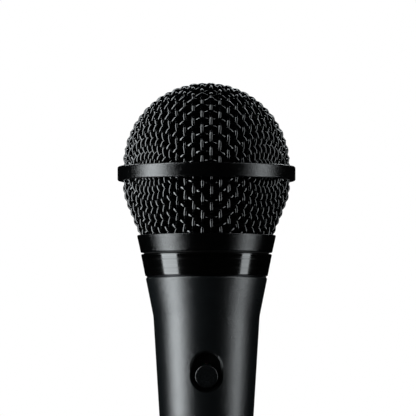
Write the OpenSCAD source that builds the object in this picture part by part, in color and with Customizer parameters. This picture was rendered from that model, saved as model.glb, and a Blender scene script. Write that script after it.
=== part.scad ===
// Handheld dynamic vocal microphone with a slide switch.
// Z runs along the handle from the tail face, the switch faces -Y. Sizes in millimetres.

/* [Handle] */
// Length from the tail face to the top face
handle_len = 103.5; // [98:0.1:112]
// Diameter of the straight tail
tail_d = 23.8; // [23.4:0.1:26]
// Length of the straight tail
tail_len = 26; // [25:0.5:34]
// Diameter where the grip's taper breaks into the neck
grip_d = 31.84; // [30.5:0.02:33]
// Height of the neck above that break
neck_len = 11.6; // [10.5:0.1:14]
// Diameter of the neck at the handle's top face
neck_d = 36.5; // [35.5:0.1:38.5]
// Wall of the grip and neck
handle_wall = 2.4; // [2:0.1:2.6]
// Chamfer at the handle's top edge
top_chamfer = 0.45; // [0.2:0.05:0.8]
// Chamfer at the tail's outer edge
tail_chamfer = 0.6; // [0.2:0.1:1]

/* [Head] */
// Height of the open groove below and above the label band
groove_h = 0.5; // [0.3:0.05:0.8]
// Height of the gloss label band
band_h = 6.5; // [5:0.1:9]
// Height of the collar that screws the grille on
collar_h = 5.2; // [4.6:0.1:7]
// Height of the tapered wire cup, collar to belt
cup_h = 16.3; // [15:0.1:19]
// Radius of the cup's shoulder below the belt
cup_shoulder_r = 13; // [8:0.5:15]
// Height of the belt around the grille
belt_h = 4.3; // [3.6:0.1:6]
// Wall of the belt outside the wires
belt_wall = 1.4; // [1:0.05:2]
// Radius on the belt's outer edges
belt_edge_r = 0.5; // [0.2:0.05:0.9]
// Diameter of the wire dome over its outermost wires
dome_d = 50.2; // [49:0.1:52]
// Thickness of the collar's lip around the wires
collar_lip = 0.6; // [0.4:0.05:0.9]
// Diameter of the grille thread
thread_d = 34; // [33.6:0.1:34.6]
// Thickness of the foam liner
foam_wall = 2; // [1:0.1:2.2]

/* [Wires] */
// Diameter of the grille wire
wire_d = 0.78; // [0.7:0.02:0.96]
// Spacing of the wires
wire_pitch = 2.64; // [2.5:0.02:3.2]
// Sides of a wire's section
wire_sides = 3; // [3:1:6]

/* [Switch] */
// Depth of the pocket's centre below the handle's top face
switch_drop = 28.5; // [26.5:0.5:35]
// Width of the pocket
pocket_w = 10; // [9.4:0.1:10.6]
// Height of the pocket
pocket_len = 12.5; // [12:0.1:14]
// Diameter of the thumb button
button_d = 6.8; // [6:0.1:7.4]
// Depth of the button's face below the handle's front line
button_sink = 0.3; // [0.1:0.05:0.8]
// Travel of the switch
switch_travel = 2.8; // [2:0.1:2.8]
// Depth of the pocket's floor plate below the handle's front line
plate_depth = 2.9; // [2.7:0.1:3.2]

/* [Socket] */
// Bore of the cable socket
socket_d = 16.2; // [15.8:0.1:16.8]
// Depth of the cable socket
socket_depth = 14; // [13:0.5:16]
// Diameter of a contact pin
contact_d = 2.4; // [2.2:0.05:2.5]
// Diameter of the circle that the pins stand on
contact_circle = 9.9; // [9.4:0.1:10.2]
// Gap between a pin's tip and the tail face
contact_inset = 1.6; // [1:0.1:3]
// Thickness of the insulator that holds the pins
insert_h = 8; // [6:0.5:9]

/* [Cartridge] */
// Diameter of the capsule
capsule_d = 29.8; // [28.4:0.1:30]
// Height of the capsule above its rubber mount
capsule_h = 20; // [19.4:0.1:22]
// Diameter of the rear chamber
chamber_d = 24.4; // [22:0.1:24.6]
// Length of the rear chamber
chamber_len = 23; // [18:0.5:24]
// Diameter of the diaphragm's rim
diaphragm_d = 26.6; // [25:0.1:27.6]
// Wall of the capsule's head around the diaphragm's clamp
head_wall = 1.2; // [0.8:0.1:1.5]
// Height of the diaphragm's dome
diaphragm_rise = 3; // [2:0.1:3.2]
// Diameter of the magnet
magnet_d = 13.6; // [12:0.1:14]
// Height of the magnet
magnet_h = 5.5; // [4:0.1:6]
// Thickness of the magnet's pole piece
pole_h = 2.3; // [1.5:0.1:2.5]

/* [Hidden] */
$fn = 96;
// Gap of a seated fit, of a turning fit and between pieces that pass each other
fit = 0.05;
turn_fit = 0.08;
pass = 0.3;

// Handle levels and radii
break_z = handle_len - neck_len;
grip_slope = (grip_d - tail_d) / 2 / (break_z - tail_len);
neck_slope = (neck_d - grip_d) / 2 / neck_len;
function neck_r(z) = grip_d / 2 + (z - break_z) * neck_slope;
function grip_r(z) = tail_d / 2 + (z - tail_len) * grip_slope;
spigot_len = 8;
spigot_wall = 1.1;
top_bore_z = handle_len - spigot_len - 0.4;
top_bore_r = neck_r(top_bore_z) - handle_wall;
insert_r = socket_d / 2 + 0.8;
seat_top = socket_depth + insert_h + 1;

// Head levels
band_z = handle_len + groove_h;
washer_z = band_z + band_h;
collar_z = washer_z + groove_h;
cup_z = collar_z + collar_h;
belt_z = cup_z + cup_h;
dome_z = belt_z + belt_h;
thread_r = thread_d / 2;
collar_bore = thread_r + turn_fit;
ring_top = cup_z - 1.6;
ledge_z = cup_z - 1.2;
ring_bore = thread_r - 1.8;
shelf_z = band_z + 0.8;

// Wire surface: middle radius of the weave, and the cup's meridian below the belt
weave_gap = 0.1;
weave_lift = wire_d / 2 + weave_gap;
weave_half = weave_lift + wire_d / 2;
mesh_r = dome_d / 2 - weave_half;
web_h = 1.8;
end_gap = 0.35;
web_z = belt_z + (belt_h - web_h) / 2;
web_r = mesh_r - weave_half + 0.1;
belt_bore = dome_d / 2 + 0.2;
shoulder_z = belt_z - 1.5;
foot_r = neck_r(cup_z) - collar_lip - 0.1 - weave_half * 1.08;
shoulder_c = [mesh_r - cup_shoulder_r, shoulder_z];
foot_from_c = [foot_r, cup_z] - shoulder_c;
cup_angle = -atan2(foot_from_c[1], foot_from_c[0]) - acos(cup_shoulder_r / norm(foot_from_c));
arc_len = cup_shoulder_r * cup_angle * PI / 180;
arc_end = shoulder_c + cup_shoulder_r * [cos(cup_angle), -sin(cup_angle)];

// Capsule levels
mount_h = 8.2;
mount_rim = 1.5;
mount_wall = 1;
capsule_z = shelf_z + mount_h;
capsule_r = capsule_d / 2;
chamber_r = chamber_d / 2;
chamber_z = capsule_z - chamber_len;
floor_h = 1.2;
yoke_floor = 2.2;
yoke_z = capsule_z + floor_h;
magnet_z = yoke_z + yoke_floor;
pole_z = magnet_z + magnet_h;
yoke_top = pole_z + pole_h;
pole_r = magnet_d / 2 + 0.4;
coil_in = pole_r + 0.5;
coil_out = coil_in + 0.8;
gap_r = coil_out + 0.5;
yoke_r = gap_r + 1.6;
rim_play = 0.35;
ledge_top = yoke_top + 1.5;
rim_t = 0.3;
rim_z = ledge_top + rim_play;
clamp_z = rim_z + rim_t + rim_play;
cap_z = clamp_z + 1.5;
rim_r = diaphragm_d / 2;
clamp_r = rim_r + 0.35;
cup_bore = clamp_r + fit;
lower_bore = rim_r - 0.9;
head_r = cup_bore + head_wall;
head_z = yoke_top - 1.5;
tag_x = 3;
cap_t = 1.2;
cap_hole_r = 1.6;
cloth_t = 0.6;
tag_end = chamber_z - 2.5;

// Switch frame: x across, y into the handle, z up along its front line
switch_z = handle_len - switch_drop;
switch_tilt = atan(grip_slope);
plate_t = 1.2;
plate_w = 14.4;
plate_len = 19;
button_z = -switch_travel / 2;
case_d = plate_depth + plate_t;
board_d = case_d + 4.2;
board_t = 1.2;
boss_half = plate_w / 2 + 1.4;
boss_low = -plate_len / 2 - 1;
boss_high = plate_len / 2 + 1;
wedge_top = boss_high + 0.3;
case_w = 7;
case_len = 12;
case_wall = 0.4;
board_w = 10;
board_low = -case_len / 2 - 5;
board_high = case_len / 2;
pad_low = board_low + 1.5;
pad_high = board_high - 1.5;
lead_r = 0.6;
stem_w = 2.4;
stem_h = 2.2;

black_paint = [0.09, 0.1, 0.1];
gloss_black = [0.04, 0.04, 0.05];
dark_steel = [0.22, 0.23, 0.24];
bright_steel = [0.62, 0.63, 0.65];
copper = [0.72, 0.42, 0.25];
gold = [0.8, 0.66, 0.35];

module ring(r_in, r_out, z, h) {
  translate([0, 0, z]) difference() {
    cylinder(r = r_out, h = h);
    translate([0, 0, -1]) cylinder(r = r_in, h = h + 2);
  }
}

module at_switch() {
  translate([0, -grip_r(switch_z), switch_z]) rotate([switch_tilt, 0, 0]) children();
}

module block(x, y0, y1, z0, z1) {
  translate([-x, y0, z0]) cube([2 * x, y1 - y0, z1 - z0]);
}

// Handle with its socket, its cast switch seat and the pocket
module handle_outline() {
  polygon([
    [0, 0],
    [tail_d / 2 - tail_chamfer, 0],
    [tail_d / 2, tail_chamfer],
    [tail_d / 2, tail_len],
    [grip_d / 2, break_z],
    [neck_r(handle_len - top_chamfer * 1.4), handle_len - top_chamfer * 1.4],
    [neck_r(handle_len) - top_chamfer, handle_len],
    [0, handle_len]
  ]);
}

module handle_bore() {
  polygon([
    [0, -1],
    [socket_d / 2 + 1.5, -1],
    [socket_d / 2, 0.5],
    [socket_d / 2, socket_depth],
    [insert_r + fit, socket_depth],
    [insert_r + fit, seat_top],
    [tail_d / 2 - handle_wall, seat_top],
    [tail_d / 2 - handle_wall, tail_len],
    [grip_d / 2 - handle_wall, break_z],
    [grip_d / 2 - handle_wall, top_bore_z],
    [top_bore_r, top_bore_z],
    [top_bore_r, handle_len + 1],
    [0, handle_len + 1]
  ]);
}

module pocket_shape() {
  square([pocket_w, pocket_len - pocket_w], center = true);
  for (s = [-1, 1]) translate([0, s * (pocket_len - pocket_w) / 2]) circle(d = pocket_w);
}

module handle() {
  channel = plate_w / 2 + fit;
  color(black_paint) difference() {
    union() {
      difference() {
        rotate_extrude() handle_outline();
        rotate_extrude() handle_bore();
      }
      intersection() {
        rotate_extrude() handle_outline();
        at_switch() block(boss_half, 0.5, case_d + 1.2, boss_low, boss_high);
      }
    }
    at_switch() {
      rotate([-90, 0, 0]) translate([0, 0, -2]) linear_extrude(plate_depth + 3) pocket_shape();
      block(channel, plate_depth, case_d + fit, -plate_len / 2 - fit, boss_high + 6);
      block(channel - 1, case_d, case_d + 3, boss_low - 1, boss_high + 1);
    }
    translate([-1.7, 0, -1]) cube([3.4, socket_d / 2 + 1, 10]);
  }
}

// Ring that carries the grille thread, and the band around it
module neck_ring() {
  low_r = top_bore_r - fit;
  color(dark_steel) rotate_extrude() polygon([
    [low_r - spigot_wall, handle_len - spigot_len],
    [low_r, handle_len - spigot_len],
    [low_r, handle_len],
    [neck_r(handle_len) - 0.35, handle_len],
    [neck_r(handle_len) - 0.35, band_z],
    [thread_r, band_z],
    [thread_r, ring_top - 0.4],
    [thread_r - 0.4, ring_top],
    [ring_bore, ring_top],
    [ring_bore, shelf_z],
    [low_r - spigot_wall, shelf_z]
  ]);
}

module label_band() {
  color(gloss_black) rotate_extrude() polygon([
    [thread_r + fit, band_z],
    [neck_r(band_z) - 0.1, band_z],
    [neck_r(band_z + 0.2), band_z + 0.2],
    [neck_r(washer_z - 0.6), washer_z - 0.6],
    [neck_r(washer_z) - 0.5, washer_z],
    [thread_r + fit, washer_z]
  ]);
}

module shock_mount() {
  low = shelf_z + 0.02;
  high = capsule_z - 0.02;
  inner = chamber_r + fit;
  wide = ring_bore - fit;
  waist = (inner + wide) / 2;
  web = mount_wall / 2;
  bend = mount_rim + mount_wall * 0.7;
  color([0.12, 0.12, 0.13]) rotate_extrude() polygon([
    [inner, low], [wide, low], [wide, low + mount_rim], [waist + web, low + bend],
    [waist + web, high - bend], [capsule_r - 0.1, high - mount_rim], [capsule_r - 0.1, high],
    [inner, high], [inner, high - mount_rim], [waist - web, high - bend],
    [waist - web, low + bend], [inner, low + mount_rim]
  ]);
}

// Cable socket: insulator, three pins and the screw that locks the insulator
pin_spots = [[-1, 0], [1, 0], [0, -1]];
shank_r = contact_d / 2 + 0.45;

module socket_insert() {
  color([0.1, 0.1, 0.11]) difference() {
    translate([0, 0, socket_depth]) cylinder(r = insert_r, h = insert_h);
    for (p = pin_spots) {
      translate([p[0] * contact_circle / 2, p[1] * contact_circle / 2, socket_depth - 1])
        cylinder(r = shank_r + fit, h = insert_h + 2);
    }
    translate([0, contact_circle / 2, socket_depth - 1]) cylinder(r = 1.25 + fit, h = insert_h + 2);
  }
}

module contact_pin(spot) {
  r = contact_d / 2;
  top = socket_depth + insert_h;
  color(gold) translate([spot[0] * contact_circle / 2, spot[1] * contact_circle / 2, 0])
    rotate_extrude() polygon([
      [0, contact_inset], [r * 0.4, contact_inset], [r * 0.8, contact_inset + 0.25],
      [r, contact_inset + 0.7], [r, socket_depth], [shank_r, socket_depth],
      [shank_r, top + 4], [0.7, top + 4], [0.7, top + 1], [0, top + 1]
    ]);
}

module contact_pin_1() {
  contact_pin(pin_spots[0]);
}

module contact_pin_2() {
  contact_pin(pin_spots[1]);
}

module contact_pin_3() {
  contact_pin(pin_spots[2]);
}

module insert_screw() {
  color(bright_steel) translate([0, contact_circle / 2, socket_depth]) difference() {
    cylinder(r = 1.25, h = insert_h - 0.5);
    translate([-2, -0.25, -1]) cube([4, 0.5, 1.7]);
  }
}

// Slide switch behind the pocket
module switch_plate() {
  slot = switch_travel + stem_h + 2 * pass;
  color([0.06, 0.06, 0.06]) at_switch() difference() {
    block(plate_w / 2, plate_depth, case_d, -plate_len / 2, plate_len / 2);
    block(stem_w / 2 + pass, plate_depth - 1, case_d + 1, -slot / 2, slot / 2);
  }
}

module plate_wedge() {
  color([0.3, 0.3, 0.32]) at_switch()
    block(plate_w / 2 - 0.6, plate_depth + 0.02, case_d, plate_len / 2 + 0.02, wedge_top);
}

module switch_case() {
  slot = switch_travel + stem_h + 2 * pass;
  color(bright_steel) at_switch() difference() {
    block(case_w / 2, case_d, board_d, -case_len / 2, case_len / 2);
    block(case_w / 2 - case_wall, case_d + case_wall, board_d + 1,
      case_wall - case_len / 2, case_len / 2 - case_wall);
    block(stem_w / 2 + pass, case_d - 1, case_d + 1, -slot / 2, slot / 2);
  }
}

module switch_board() {
  color([0.1, 0.3, 0.2]) at_switch() difference() {
    block(board_w / 2, board_d, board_d + board_t, board_low, board_high);
    for (k = [-1:1]) translate([0, board_d - 1, k * switch_travel]) rotate([-90, 0, 0])
      cylinder(r = 0.5 + fit, h = board_t + 2);
  }
}

module switch_terminals() {
  color(copper) at_switch() for (k = [-1:1]) {
    translate([0, board_d, k * switch_travel]) rotate([-90, 0, 0]) {
      translate([0, 0, -0.2]) cylinder(r = 0.8, h = 0.2);
      translate([0, 0, -0.1]) cylinder(r = 0.5, h = board_t + 1);
    }
  }
}

module switch_button() {
  face = button_sink;
  low = plate_depth - pass;
  r = button_d / 2;
  color([0.07, 0.07, 0.08]) at_switch() translate([0, 0, button_z]) difference() {
    rotate([-90, 0, 0]) rotate_extrude() polygon([
      [0, face], [r - 0.5, face], [r - 0.25, face + 0.07], [r - 0.07, face + 0.25],
      [r, face + 0.5], [r, low], [0, low]
    ]);
    block(stem_w / 2 + fit, face + 1, low + 1, -stem_h / 2 - fit, stem_h / 2 + fit);
  }
}

module switch_lever() {
  color([0.85, 0.85, 0.82]) at_switch() translate([0, 0, button_z]) {
    block(stem_w / 2, button_sink + 1 + fit, case_d + 1, -stem_h / 2, stem_h / 2);
    block(2.9, case_d + 0.5, case_d + 2.6, -2.3, 2.3);
  }
}

module contact_wiper() {
  top = case_d + 2.6;
  half = switch_travel / 2;
  color(copper) at_switch() translate([0, 0, button_z]) {
    block(2.4, top + 0.02, top + 0.4, -2.1, 2.1);
    for (s = [-1, 1]) block(0.9, top + 0.3, board_d - 0.22, s * half - 0.3, s * half + 0.3);
  }
}

// Leads run straight between their soldered ends
module lead(from, to, r) {
  run = to - from;
  tilt = acos(run[2] / norm(run));
  translate(from) rotate([0, tilt, atan2(run[1], run[0])]) cylinder(r = r, h = norm(run));
}

function from_switch(x, y, z) = [x,
  -grip_r(switch_z) + y * cos(switch_tilt) - z * sin(switch_tilt),
  switch_z + y * sin(switch_tilt) + z * cos(switch_tilt)];
pad_d = board_d + board_t + 0.7;

module connector_leads() {
  ends = [-tag_x, tag_x, 0];
  color([0.5, 0.1, 0.1]) for (k = [0:2]) {
    foot = pin_spots[k] * contact_circle / 2;
    lead([foot[0], foot[1], socket_depth + insert_h + 4.1], from_switch(ends[k], pad_d, pad_low), lead_r);
  }
}

module cartridge_leads() {
  color([0.6, 0.55, 0.1]) for (s = [-1, 1])
    lead(from_switch(s * tag_x, pad_d, pad_high), [s * tag_x, 0, tag_end - lead_r * 0.75], lead_r);
}

// Grille: wires, belt, collar, washer and foam
// A net of equal cells on a unit sphere: each new knot mirrors the one diagonally behind it
half_step = wire_pitch / 2 / mesh_r * 180 / PI;
net_size = ceil(96 / half_step) + 3;
function mirrored(p, a, b) = let (m = cross(a, b)) p - 2 * (p * m) * m / (m * m);
function knot_row(row, first) = [for (j = 0, v = first; j < len(row);
  v = j + 1 < len(row) ? mirrored(row[j], v, row[j + 1]) : v, j = j + 1) v];
first_row = [for (j = [0:net_size]) [0, sin(j * half_step), cos(j * half_step)]];
net = [for (i = 0, row = first_row; i <= net_size;
  row = knot_row(row, [sin((i + 1) * half_step), 0, cos((i + 1) * half_step)]), i = i + 1) row];
function knot(i, j) = let (q = net[abs(i)][abs(j)]) [sign(i) * q[0], sign(j) * q[1], q[2]];
function over(i, j, phase) = ((i - 1) / 2 + j / 2 + phase + 1000) % 2 == 0 ? 1 : -1;
function polar(q) = acos(q[2]);
function flat(q) = [q[0], q[1], 0] / norm([q[0], q[1]]);

// Points at a height over the dome's surface and over the cup's surface
function dome_at(q, lift) = polar(q) <= 90
  ? [0, 0, dome_z] + (mesh_r + lift) * q
  : (mesh_r + lift) * flat(q) + [0, 0, dome_z - mesh_r * (polar(q) - 90) * PI / 180];
function cup_point(q, lift, r, z, a) =
  (r + lift * cos(a)) * flat(q) + [0, 0, z - lift * sin(a)];
function cup_at(q, lift) = let (s = mesh_r * (90 - polar(q)) * PI / 180 - (belt_z - shoulder_z))
  s <= 0 ? cup_point(q, lift, mesh_r, shoulder_z - s, 0)
  : s <= arc_len ? let (a = s / cup_shoulder_r * 180 / PI)
    cup_point(q, lift, shoulder_c[0] + cup_shoulder_r * cos(a),
      shoulder_c[1] - cup_shoulder_r * sin(a), a)
  : cup_point(q, lift, arc_end[0] - (s - arc_len) * sin(cup_angle),
      arc_end[1] - (s - arc_len) * cos(cup_angle), cup_angle);

// Part of the way between two knots where the wire meets a polar limit
function cut(a, b, limit) = let (t = (limit - polar(a[0])) / (polar(b[0]) - polar(a[0])),
  q = a[0] + t * (b[0] - a[0])) [q / norm(q), a[1] + t * (b[1] - a[1])];
function inside(k, zone) = polar(k[0]) > zone[0] && polar(k[0]) < zone[1];
function limit_of(k, zone) = polar(k[0]) >= zone[1] ? zone[1] : zone[0];

// Wire along the knots between two limits, with one ring of corners at each knot
module wire(at, path) {
  last = len(path) - 1;
  spots = [for (k = path) at(k[0], k[1])];
  corners = [for (k = [0:last])
    let (
      run = spots[min(k + 1, last)] - spots[max(k - 1, 0)],
      out = at(path[k][0], path[k][1] + 1) - spots[k],
      side = cross(run, out) / norm(cross(run, out)),
      up = cross(side, run) / norm(run)
    )
    for (c = [0:wire_sides - 1])
      spots[k] + wire_d / 2 * (cos(c * 360 / wire_sides) * up + sin(c * 360 / wire_sides) * side)];
  n = wire_sides;
  sides = [for (k = [0:last - 1]) for (c = [0:n - 1]) let (d = (c + 1) % n, b = k * n)
    each [[b + c, b + d, b + n + c], [b + d, b + n + d, b + n + c]]];
  foot = [for (c = [1:n - 2]) [0, c + 1, c]];
  head = [for (c = [1:n - 2]) [last * n, last * n + c, last * n + c + 1]];
  polyhedron(corners, concat(sides, foot, head));
}

module wire_runs(at, zone, knots) {
  ins = [for (k = knots) inside(k, zone)];
  starts = [for (k = [1:len(knots) - 1]) if (ins[k] && !ins[k - 1]) k];
  ends = [for (k = [0:len(knots) - 2]) if (ins[k] && !ins[k + 1]) k];
  for (m = [0:1:len(starts) - 1]) {
    a = starts[m];
    b = ends[m];
    path = concat(
      [cut(knots[a], knots[a - 1], limit_of(knots[a - 1], zone))],
      [for (k = [a:b]) knots[k]],
      [cut(knots[b], knots[b + 1], limit_of(knots[b + 1], zone))]);
    wire(at, path);
  }
}

module wire_net(at, zone, phase) {
  odd = 2 * floor((net_size - 1) / 2) - 1;
  even = 2 * floor(net_size / 2);
  for (i = [-odd:2:odd])
    wire_runs(at, zone, [for (j = [-even:2:even]) [knot(i, j), over(i, j, phase) * weave_lift]]);
  for (j = [-even:2:even])
    wire_runs(at, zone, [for (i = [-odd:2:odd]) [knot(i, j), -over(i, j, phase) * weave_lift]]);
}

belt_reach = (dome_z - web_z - web_h - end_gap) / mesh_r * 180 / PI;
foot_len = belt_z - shoulder_z + arc_len + (arc_end[1] - ledge_z - 0.4) / cos(cup_angle);

module grille_dome() {
  color(dark_steel) wire_net(function (q, lift) dome_at(q, lift), [-1, 90 + belt_reach], 0);
}

module grille_cup() {
  low = 90 - foot_len / mesh_r * 180 / PI;
  color(dark_steel) wire_net(function (q, lift) cup_at(q, lift), [low, 90 + belt_reach], 1);
}

function corner(c, r, a0, a1) = [for (k = [0:4]) let (a = a0 + k * (a1 - a0) / 4) c + r * [cos(a), sin(a)]];

module grille_belt() {
  r = belt_bore + belt_wall;
  e = belt_edge_r;
  color(black_paint) rotate_extrude() polygon(concat(
    [[web_r, web_z], [belt_bore, web_z], [belt_bore, belt_z]],
    corner([r - e, belt_z + e], e, -90, 0),
    corner([r - e, dome_z - e], e, 0, 90),
    [[belt_bore, dome_z], [belt_bore, web_z + web_h], [web_r, web_z + web_h]]));
}

module grille_collar() {
  lip = neck_r(cup_z) - collar_lip;
  color(black_paint) rotate_extrude() polygon(concat(
    [[collar_bore, collar_z]],
    corner([neck_r(collar_z) - 0.25, collar_z + 0.25], 0.25, -90, 0),
    corner([neck_r(cup_z) - 0.3, cup_z - 0.3], 0.3, 0, 90),
    [[lip, cup_z], [lip, ledge_z], [collar_bore, ledge_z]]));
}

module grille_washer() {
  color([0.3, 0.3, 0.31]) ring(collar_bore, neck_r(washer_z) - 0.9, washer_z + 0.02, groove_h - 0.04);
}

foam_gap = weave_half + 0.1;
function foam_outline(g) = concat(
  [for (a = [90:-7.5:0]) [(mesh_r - g) * cos(a), dome_z + (mesh_r - g) * sin(a)]],
  [for (k = [0:6]) shoulder_c + (cup_shoulder_r - g) * [cos(k / 6 * cup_angle), -sin(k / 6 * cup_angle)]]);
function foam_foot(g) = let (top = shoulder_c + (cup_shoulder_r - g) * [cos(cup_angle), -sin(cup_angle)],
  z = ledge_z + 0.05) [top[0] - (top[1] - z) * tan(cup_angle), z];

module foam_liner() {
  skin = concat(foam_outline(foam_gap), [foam_foot(foam_gap)]);
  inner = concat(foam_outline(foam_gap + foam_wall), [foam_foot(foam_gap + foam_wall)]);
  back = [for (k = [len(inner) - 1:-1:0]) inner[k]];
  color([0.05, 0.05, 0.05]) rotate_extrude() polygon(concat(skin, back));
}

// Cartridge: rear chamber, capsule and its magnet
module rear_chamber() {
  color([0.75, 0.76, 0.78]) rotate_extrude() polygon([
    [chamber_r - 2, chamber_z], [chamber_r, chamber_z], [chamber_r, capsule_z],
    [chamber_r - 1, capsule_z], [chamber_r - 1, chamber_z + 0.6], [chamber_r - 2, chamber_z + 0.6]
  ]);
}

module terminal_board() {
  color([0.45, 0.3, 0.15]) difference() {
    translate([0, 0, chamber_z + 0.6 + 0.02]) cylinder(r = chamber_r - 1 - fit, h = 1.4);
    for (s = [-1, 1]) translate([s * tag_x, 0, chamber_z]) cylinder(r = 0.7 + fit, h = 4);
  }
}

module capsule_tags() {
  color(gold) for (s = [-1, 1]) translate([s * tag_x, 0, tag_end]) cylinder(r = 0.7, h = 5.5);
}

module capsule_cup() {
  low = chamber_r - 1 - fit;
  color([0.14, 0.14, 0.15]) difference() {
    rotate_extrude() polygon([
      [8, capsule_z - 2], [low, capsule_z - 2], [low, capsule_z], [capsule_r, capsule_z],
      [capsule_r, head_z], [head_r, head_z + 1], [head_r, capsule_z + capsule_h - 0.4],
      [head_r - 0.4, capsule_z + capsule_h],
      [cup_bore, capsule_z + capsule_h], [cup_bore, ledge_top], [lower_bore, ledge_top],
      [lower_bore, capsule_z + floor_h], [8, capsule_z + floor_h]
    ]);
    for (k = [0:7]) rotate([0, 0, k * 45 + 22.5]) translate([0, 0, yoke_z + 3]) rotate([0, 90, 0])
      cylinder(r = 1.1, h = capsule_r + 1);
  }
}

module yoke() {
  color(bright_steel) rotate_extrude() polygon([
    [0, yoke_z], [yoke_r, yoke_z], [yoke_r, yoke_top], [gap_r, yoke_top],
    [gap_r, magnet_z], [0, magnet_z]
  ]);
}

module magnet() {
  color([0.35, 0.36, 0.38]) translate([0, 0, magnet_z]) cylinder(d = magnet_d, h = magnet_h);
}

module pole_piece() {
  color(bright_steel) translate([0, 0, pole_z]) cylinder(r = pole_r, h = pole_h);
}

module diaphragm_clamp() {
  color(gold) rotate_extrude() polygon([
    [rim_r + 0.05, ledge_top], [clamp_r, ledge_top], [clamp_r, cap_z], [rim_r - 0.8, cap_z],
    [rim_r - 0.8, clamp_z], [rim_r + 0.05, clamp_z]
  ]);
}

// Thin shell: dome over the coil, flat coil seat, one roll and the rim
module diaphragm() {
  roll = (rim_r - 1 - coil_out - 0.3) / 2;
  mid = coil_out + 0.3 + roll;
  line = concat(
    [for (k = [0:8]) [(coil_in - 0.1) * k / 8, rim_z + diaphragm_rise * (1 - pow(k / 8, 2))]],
    [[coil_out + 0.3, rim_z]],
    [for (a = [150:-30:30]) [mid + roll * cos(a), rim_z + 0.9 * sin(a)]],
    [[rim_r - 1, rim_z], [rim_r, rim_z]]);
  back = [for (k = [len(line) - 1:-1:0]) line[k] + [0, rim_t]];
  color([0.85, 0.8, 0.65]) rotate_extrude() polygon(concat(line, back));
}

module voice_coil() {
  color(copper) ring(coil_in, coil_out, magnet_z + 3, rim_z - magnet_z - 3);
}

module front_cap() {
  plate_z = rim_z + rim_t + diaphragm_rise + 0.6;
  color([0.16, 0.16, 0.17]) difference() {
    rotate_extrude() polygon([
      [rim_r - 0.8, cap_z], [clamp_r, cap_z], [clamp_r, plate_z + cap_t], [0, plate_z + cap_t],
      [0, plate_z], [rim_r - 0.8, plate_z]
    ]);
    translate([0, 0, plate_z - 1]) cylinder(r = cap_hole_r * 1.25, h = cap_t + 2);
    for (k = [0:7]) rotate([0, 0, k * 45]) translate([rim_r * 0.564, 0, plate_z - 1])
      cylinder(r = cap_hole_r, h = cap_t + 2);
  }
}

module front_cloth() {
  plate_z = rim_z + rim_t + diaphragm_rise + 0.6;
  color([0.2, 0.2, 0.2]) translate([0, 0, plate_z + cap_t + 0.02]) cylinder(r = rim_r - 1, h = cloth_t);
}

handle();
label_band();
neck_ring();
shock_mount();
socket_insert();
contact_pin_1();
contact_pin_2();
contact_pin_3();
insert_screw();
switch_plate();
plate_wedge();
switch_case();
switch_board();
switch_terminals();
connector_leads();
cartridge_leads();
switch_button();
switch_lever();
contact_wiper();
grille_washer();
grille_dome();
grille_cup();
grille_belt();
grille_collar();
foam_liner();
rear_chamber();
terminal_board();
capsule_tags();
capsule_cup();
yoke();
magnet();
pole_piece();
diaphragm_clamp();
front_cap();
front_cloth();
diaphragm();
voice_coil();
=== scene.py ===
import math
import bmesh
import bpy
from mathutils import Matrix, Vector


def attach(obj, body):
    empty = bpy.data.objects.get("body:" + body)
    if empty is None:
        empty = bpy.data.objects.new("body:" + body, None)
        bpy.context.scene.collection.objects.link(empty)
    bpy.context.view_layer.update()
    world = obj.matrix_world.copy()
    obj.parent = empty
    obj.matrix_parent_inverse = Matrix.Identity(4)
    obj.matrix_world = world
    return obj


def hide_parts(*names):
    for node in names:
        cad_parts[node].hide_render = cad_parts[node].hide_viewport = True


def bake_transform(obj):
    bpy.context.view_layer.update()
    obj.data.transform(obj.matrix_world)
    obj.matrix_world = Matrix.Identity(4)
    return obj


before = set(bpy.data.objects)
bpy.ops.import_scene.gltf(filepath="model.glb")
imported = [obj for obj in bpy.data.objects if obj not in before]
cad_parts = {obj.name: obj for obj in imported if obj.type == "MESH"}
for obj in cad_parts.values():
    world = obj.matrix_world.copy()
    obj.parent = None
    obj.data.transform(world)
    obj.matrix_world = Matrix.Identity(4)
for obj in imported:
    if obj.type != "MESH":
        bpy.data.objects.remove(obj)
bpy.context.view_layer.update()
mm = 0.001
print("frame:", len(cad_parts), "nodes")


def facing(place, target):  # the turn of a camera or lamp that looks from a place at a target
    return (Vector(target) - Vector(place)).to_track_quat("-Z", "Y").to_euler()


# camera, low and far in front of the switch
shot = {"place": (0.00045, -1.15, 0.0745), "target": (0.00045, 0.0, 0.1244), "lens": 332.0, "sensor": 36.0}
bpy.ops.object.camera_add(location=shot["place"])
camera = bpy.context.object
camera.name = "photoCamera"
camera.data.sensor_width = shot["sensor"]
camera.data.lens = shot["lens"]
camera.rotation_euler = facing(shot["place"], shot["target"])
bpy.context.scene.camera = camera
bpy.context.scene.view_settings.view_transform = "Standard"
print("camera placed")

# two upright softboxes left and right of the camera and a wide one above and behind, all slightly cool
lamps = {  # from and to are degrees round the object, counted from the camera's side
    "leftStrip": {"from": 52.2, "to": 83.1, "reach": 0.14, "low": 0.010, "high": 0.34, "glow": 10.2},
    "rightStrip": {"from": -64.5, "to": -81.2, "reach": 0.17, "low": 0.010, "high": 0.38, "glow": 6.0},
}
crown = {"place": (0.0, 0.28, 0.33), "target": (0.0, 0.0, 0.155), "width": 0.50, "height": 0.045, "glow": 7.0}
lampTint = (0.92, 0.975, 1.0)


def addSoftbox(name, place, target, width, height, glow):
    bpy.ops.object.light_add(type="AREA", location=place)
    light = bpy.context.object
    light.name = name
    light.rotation_euler = facing(place, target)
    light.data.shape = "RECTANGLE"
    light.data.size = width
    light.data.size_y = height
    light.data.energy = glow * math.pi * width * height
    light.data.color = lampTint
    light.visible_camera = False


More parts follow.
